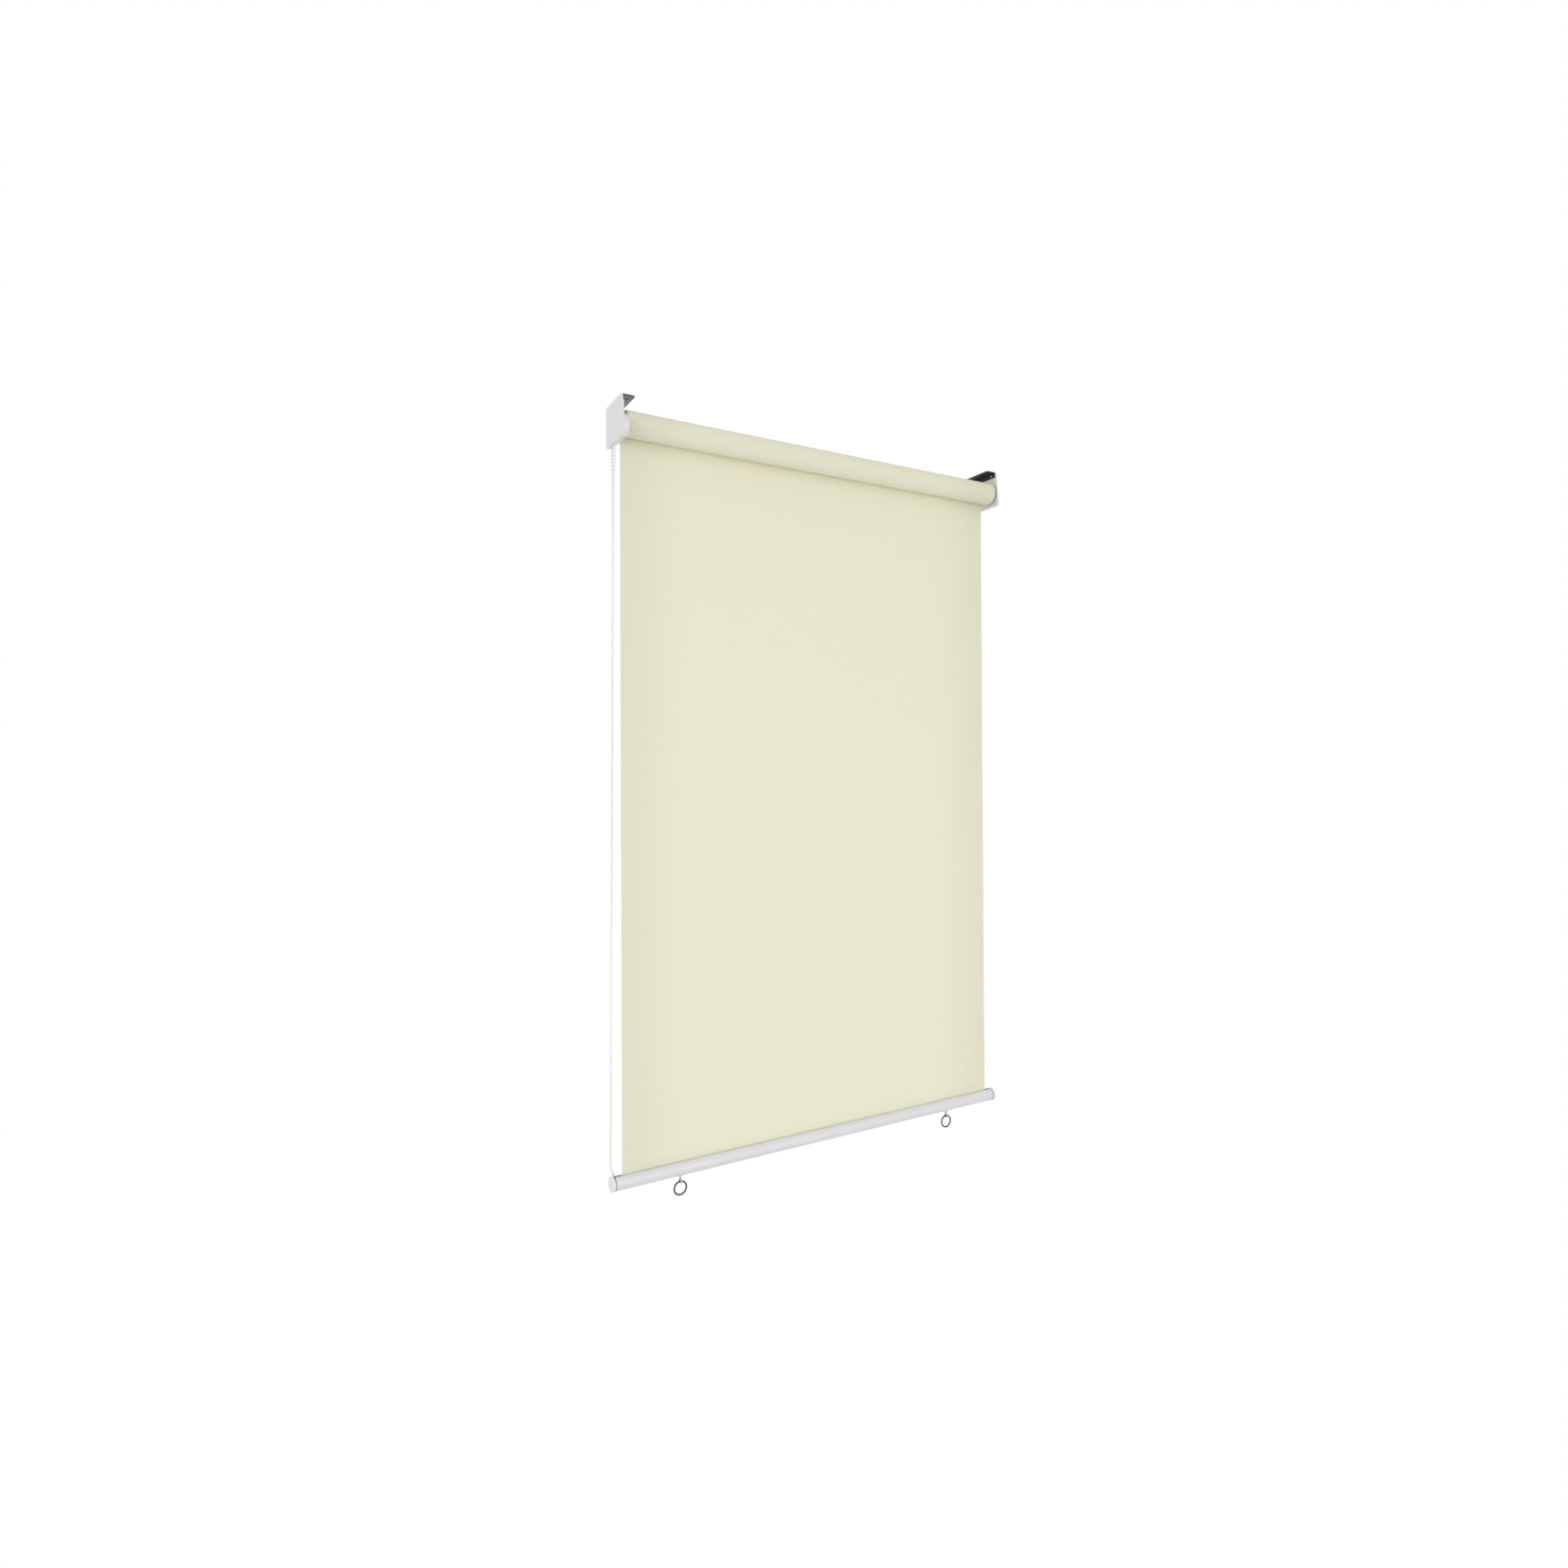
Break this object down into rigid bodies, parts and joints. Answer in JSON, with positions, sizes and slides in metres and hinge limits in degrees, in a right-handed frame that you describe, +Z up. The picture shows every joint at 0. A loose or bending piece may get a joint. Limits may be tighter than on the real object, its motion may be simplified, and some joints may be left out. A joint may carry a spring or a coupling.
{
  "type": "outdoor roller blind",
  "caption": "Outdoor roller blind: cream fabric on a chain-driven tube between ceiling-fixed housings, falling to a round bottom bar with tie-down rings.",
  "frame": {"origin": "middle of the four fixing holes, on the top faces of the two steel angles", "axes": "+X along the roller to the idle end, +Y towards the wall, +Z up"},
  "size_m": [0.84, 0.0905, 1.3537],
  "materials": {
    "housing_plastic": "satin white moulding",
    "angle_steel": "dark satin paint",
    "screw_steel": "plain",
    "clutch_plastic": "plain",
    "chain_plastic": "white beads",
    "blind_fabric": "fine plain weave",
    "tube_aluminium": "mill",
    "wheel_plastic": "satin",
    "spring_steel": "plain",
    "bar_aluminium": "satin white",
    "cap_plastic": "satin",
    "tab_steel": "zinc plated",
    "ring_steel": "dark plated wire"
  },
  "bodies": {
    "frame": {"housing_left": "housing_plastic", "housing_right": "housing_plastic", "angle_left": "angle_steel", "angle_right": "angle_steel", "angle_screws": "screw_steel", "clutch_core": "clutch_plastic", "bead_chain": "chain_plastic", "fabric_sheet": "blind_fabric"},
    "roller": {"roller_tube": "tube_aluminium", "fabric_roll": "blind_fabric", "chain_wheel": "wheel_plastic", "drive_plug": "wheel_plastic", "brake_spring": "spring_steel", "idle_plug": "wheel_plastic", "idle_spring": "spring_steel"},
    "idle_pin": {"idle_pin": "spring_steel"},
    "bottom_bar": {"bottom_bar": "bar_aluminium", "fabric_hem": "blind_fabric", "hem_rod": "clutch_plastic", "end_cap_left": "cap_plastic", "end_cap_right": "cap_plastic", "ring_tab_left": "tab_steel", "ring_tab_right": "tab_steel"},
    "ring_left": {"ring_left": "ring_steel"},
    "ring_right": {"ring_right": "ring_steel"}
  },
  "joints": [
    {"name": "roller_spin", "type": "hinge", "parent": "frame", "child": "roller", "pos_m": [0, -0.018, -0.044], "axis": [1, 0, 0], "range_deg": [0, 2880]},
    {"name": "bar_lift", "type": "slide", "parent": "frame", "child": "bottom_bar", "axis": [0, 0, 1], "range_m": [0, 1.2], "deforming": ["fabric_sheet"]},
    {"name": "ring_left_swing", "type": "hinge", "parent": "bottom_bar", "child": "ring_left", "pos_m": [-0.295, 0.00373, -1.32955], "axis": [1, 0, 0], "range_deg": [-85, 85]},
    {"name": "ring_right_swing", "type": "hinge", "parent": "bottom_bar", "child": "ring_right", "pos_m": [0.295, 0.00373, -1.32955], "axis": [1, 0, 0], "range_deg": [-85, 85]},
    {"name": "idle_pin_slide", "type": "slide", "parent": "roller", "child": "idle_pin", "axis": [-1, 0, 0], "range_m": [0, 0.008], "stiffness_N_per_m": 400, "springref_m": -0.008, "deforming": ["idle_spring"]}
  ],
  "couplings": [
    {"joint": "bar_lift", "follows": "roller_spin", "m_per_rad": 0.02387}
  ]
}
